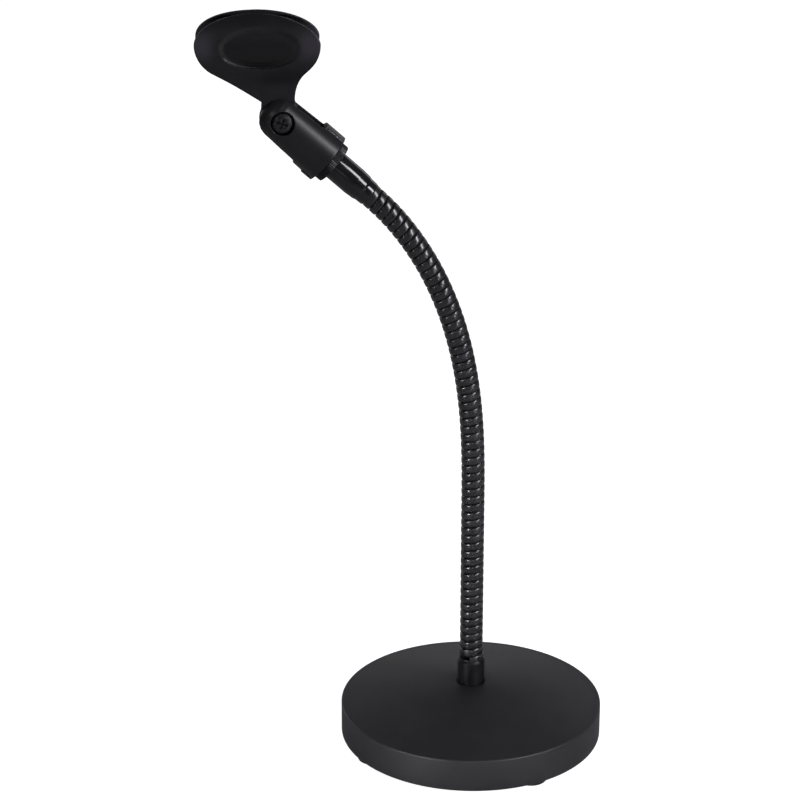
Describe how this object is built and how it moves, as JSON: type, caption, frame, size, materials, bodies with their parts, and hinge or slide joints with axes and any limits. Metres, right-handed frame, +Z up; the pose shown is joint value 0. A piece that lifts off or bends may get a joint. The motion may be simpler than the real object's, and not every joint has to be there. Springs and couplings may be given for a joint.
{
  "type": "desktop gooseneck microphone stand",
  "caption": "Desktop microphone stand: a round weighted base, a flexible gooseneck that leans over, and a turning, tilting clip for a hand microphone.",
  "frame": {"origin": "centre of the base's underside, on the flush face of the centre bolt's head; the rubber feet stand 2.2 mm below it", "axes": "+Z up the straight part of the neck; the neck leans toward -X in the XZ plane; the fork is screwed on 4.5 degrees past that plane, so the clip tilts about an axis 4.5 degrees from Y"},
  "size_m": [0.2287, 0.1524, 0.4306],
  "materials": {
    "powder_coat_black": "fine matte black powder coat on cast iron",
    "neck_gloss_black": "gloss black plated wire",
    "coil_steel": "dark oiled spring steel",
    "ferrule_gloss_black": "gloss black plated steel",
    "ferrule_satin_black": "satin black plated steel",
    "yoke_plastic_black": "satin black moulded plastic",
    "clip_plastic_black": "matte black flexible moulded plastic",
    "hardware_black_oxide": "black oxide steel",
    "zinc_plated_steel": "bright zinc plate",
    "foot_rubber": "matte black rubber"
  },
  "bodies": {
    "base": {"base_casting": "powder_coat_black", "rubber_foot_1": "foot_rubber", "rubber_foot_2": "foot_rubber", "rubber_foot_3": "foot_rubber", "rubber_foot_4": "foot_rubber", "base_bolt": "zinc_plated_steel", "lock_washer": "zinc_plated_steel", "flat_washer": "zinc_plated_steel"},
    "neck_foot": {"lower_ferrule": "ferrule_satin_black"},
    "neck_link_01": {"wire_link_01": "neck_gloss_black", "coil_link_01": "coil_steel"},
    "neck_link_02": {"wire_link_02": "neck_gloss_black", "coil_link_02": "coil_steel"},
    "neck_link_03": {"wire_link_03": "neck_gloss_black", "coil_link_03": "coil_steel"},
    "neck_link_04": {"wire_link_04": "neck_gloss_black", "coil_link_04": "coil_steel"},
    "neck_link_05": {"wire_link_05": "neck_gloss_black", "coil_link_05": "coil_steel"},
    "neck_link_06": {"wire_link_06": "neck_gloss_black", "coil_link_06": "coil_steel"},
    "neck_link_07": {"wire_link_07": "neck_gloss_black", "coil_link_07": "coil_steel"},
    "neck_link_08": {"wire_link_08": "neck_gloss_black", "coil_link_08": "coil_steel"},
    "neck_link_09": {"wire_link_09": "neck_gloss_black", "coil_link_09": "coil_steel"},
    "neck_link_10": {"wire_link_10": "neck_gloss_black", "coil_link_10": "coil_steel"},
    "neck_link_11": {"wire_link_11": "neck_gloss_black", "coil_link_11": "coil_steel"},
    "neck_link_12": {"wire_link_12": "neck_gloss_black", "coil_link_12": "coil_steel"},
    "neck_link_13": {"wire_link_13": "neck_gloss_black", "coil_link_13": "coil_steel"},
    "neck_link_14": {"wire_link_14": "neck_gloss_black", "coil_link_14": "coil_steel"},
    "neck_link_15": {"wire_link_15": "neck_gloss_black", "coil_link_15": "coil_steel"},
    "neck_link_16": {"wire_link_16": "neck_gloss_black", "coil_link_16": "coil_steel"},
    "neck_link_17": {"wire_link_17": "neck_gloss_black", "coil_link_17": "coil_steel"},
    "neck_link_18": {"wire_link_18": "neck_gloss_black", "coil_link_18": "coil_steel"},
    "neck_link_19": {"wire_link_19": "neck_gloss_black", "coil_link_19": "coil_steel"},
    "neck_link_20": {"wire_link_20": "neck_gloss_black", "coil_link_20": "coil_steel", "upper_ferrule": "ferrule_gloss_black"},
    "fork": {"clip_yoke": "yoke_plastic_black", "thread_insert": "hardware_black_oxide", "pivot_screw": "hardware_black_oxide", "pivot_nut": "hardware_black_oxide"},
    "clip": {"mic_clip": "clip_plastic_black"}
  },
  "joints": [
    {"name": "neck_turn", "type": "hinge", "parent": "base", "child": "neck_foot", "pos_m": [0, 0, 0.0314], "axis": [0, 0, 1], "range_deg": [-180, 180]},
    {"name": "neck_bend_01", "type": "hinge", "parent": "neck_foot", "child": "neck_link_01", "pos_m": [0, 0, 0.04845], "axis": [0.002, -1, 0.002], "range_deg": [-10, 10]},
    {"name": "neck_sway_02", "type": "hinge", "parent": "neck_link_01", "child": "neck_link_02", "pos_m": [0, 0, 0.06315], "axis": [-1, 0.002, 0.002], "range_deg": [-9, 9]},
    {"name": "neck_bend_03", "type": "hinge", "parent": "neck_link_02", "child": "neck_link_03", "pos_m": [0, 0, 0.07785], "axis": [0.002, -1, 0.002], "range_deg": [-10, 10]},
    {"name": "neck_sway_04", "type": "hinge", "parent": "neck_link_03", "child": "neck_link_04", "pos_m": [0, 0, 0.09255], "axis": [-1, 0.002, 0.002], "range_deg": [-9, 9]},
    {"name": "neck_bend_05", "type": "hinge", "parent": "neck_link_04", "child": "neck_link_05", "pos_m": [0, 0, 0.10725], "axis": [0.002, -1, 0.002], "range_deg": [-10, 10]},
    {"name": "neck_sway_06", "type": "hinge", "parent": "neck_link_05", "child": "neck_link_06", "pos_m": [0, 0, 0.12195], "axis": [-1, 0.002, 0.002], "range_deg": [-9, 9]},
    {"name": "neck_bend_07", "type": "hinge", "parent": "neck_link_06", "child": "neck_link_07", "pos_m": [0, 0, 0.13665], "axis": [0.002, -1, 0.002], "range_deg": [-10, 10]},
    {"name": "neck_sway_08", "type": "hinge", "parent": "neck_link_07", "child": "neck_link_08", "pos_m": [0, 0, 0.15135], "axis": [-1, 0.002, -0.0016], "range_deg": [-9, 9]},
    {"name": "neck_bend_09", "type": "hinge", "parent": "neck_link_08", "child": "neck_link_09", "pos_m": [-0.00011, 0, 0.16605], "axis": [0.002, -1, 0.002], "range_deg": [-14, 10]},
    {"name": "neck_sway_10", "type": "hinge", "parent": "neck_link_09", "child": "neck_link_10", "pos_m": [-0.00052, 0, 0.18074], "axis": [-0.9991, 0.002, -0.0415], "range_deg": [-9, 9]},
    {"name": "neck_bend_11", "type": "hinge", "parent": "neck_link_10", "child": "neck_link_11", "pos_m": [-0.00138, 0, 0.19542], "axis": [0.002, -1, 0.002], "range_deg": [-14, 10]},
    {"name": "neck_sway_12", "type": "hinge", "parent": "neck_link_11", "child": "neck_link_12", "pos_m": [-0.00285, 0, 0.21004], "axis": [-0.9926, 0.002, -0.1218], "range_deg": [-9, 9]},
    {"name": "neck_bend_13", "type": "hinge", "parent": "neck_link_12", "child": "neck_link_13", "pos_m": [-0.00502, 0, 0.22458], "axis": [0.002, -1, 0.002], "range_deg": [-14, 10]},
    {"name": "neck_sway_14", "type": "hinge", "parent": "neck_link_13", "child": "neck_link_14", "pos_m": [-0.00802, 0, 0.23897], "axis": [-0.9725, 0.002, -0.2331], "range_deg": [-9, 9]},
    {"name": "neck_bend_15", "type": "hinge", "parent": "neck_link_14", "child": "neck_link_15", "pos_m": [-0.01193, 0, 0.25314], "axis": [0.002, -1, 0.002], "range_deg": [-22, 5]},
    {"name": "neck_sway_16", "type": "hinge", "parent": "neck_link_15", "child": "neck_link_16", "pos_m": [-0.01683, 0, 0.26699], "axis": [-0.9297, 0.002, -0.3683], "range_deg": [-9, 9]},
    {"name": "neck_bend_17", "type": "hinge", "parent": "neck_link_16", "child": "neck_link_17", "pos_m": [-0.02279, 0, 0.28042], "axis": [0.002, -1, 0.002], "range_deg": [-22, 5]},
    {"name": "neck_sway_18", "type": "hinge", "parent": "neck_link_17", "child": "neck_link_18", "pos_m": [-0.02987, 0, 0.2933], "axis": [-0.8548, 0.002, -0.519], "range_deg": [-9, 9]},
    {"name": "neck_bend_19", "type": "hinge", "parent": "neck_link_18", "child": "neck_link_19", "pos_m": [-0.03807, 0, 0.30549], "axis": [0.002, -1, 0.002], "range_deg": [-22, 5]},
    {"name": "neck_sway_20", "type": "hinge", "parent": "neck_link_19", "child": "neck_link_20", "pos_m": [-0.04742, 0, 0.31683], "axis": [-0.7392, 0.002, -0.6734], "range_deg": [-9, 9]},
    {"name": "clip_turn", "type": "hinge", "parent": "neck_link_20", "child": "fork", "pos_m": [-0.07739, 0, 0.34449], "axis": [-0.7478, 0, 0.6639], "range_deg": [-180, 180]},
    {"name": "clip_tilt", "type": "hinge", "parent": "fork", "child": "clip", "pos_m": [-0.10528, 0, 0.36925], "axis": [0.0521, -0.9969, 0.0587], "range_deg": [-55, 115]}
  ],
  "couplings": [
    {"joint": "neck_bend_03", "follows": "neck_bend_01", "ratio": 1},
    {"joint": "neck_sway_04", "follows": "neck_sway_02", "ratio": 1},
    {"joint": "neck_bend_05", "follows": "neck_bend_01", "ratio": 1},
    {"joint": "neck_sway_06", "follows": "neck_sway_02", "ratio": 1},
    {"joint": "neck_bend_07", "follows": "neck_bend_01", "ratio": 1},
    {"joint": "neck_sway_08", "follows": "neck_sway_02", "ratio": 1},
    {"joint": "neck_sway_10", "follows": "neck_sway_02", "ratio": 1},
    {"joint": "neck_bend_11", "follows": "neck_bend_09", "ratio": 1},
    {"joint": "neck_bend_13", "follows": "neck_bend_09", "ratio": 1},
    {"joint": "neck_sway_14", "follows": "neck_sway_12", "ratio": 1},
    {"joint": "neck_sway_16", "follows": "neck_sway_12", "ratio": 1},
    {"joint": "neck_bend_17", "follows": "neck_bend_15", "ratio": 1},
    {"joint": "neck_sway_18", "follows": "neck_sway_12", "ratio": 1},
    {"joint": "neck_bend_19", "follows": "neck_bend_15", "ratio": 1},
    {"joint": "neck_sway_20", "follows": "neck_sway_12", "ratio": 1}
  ]
}
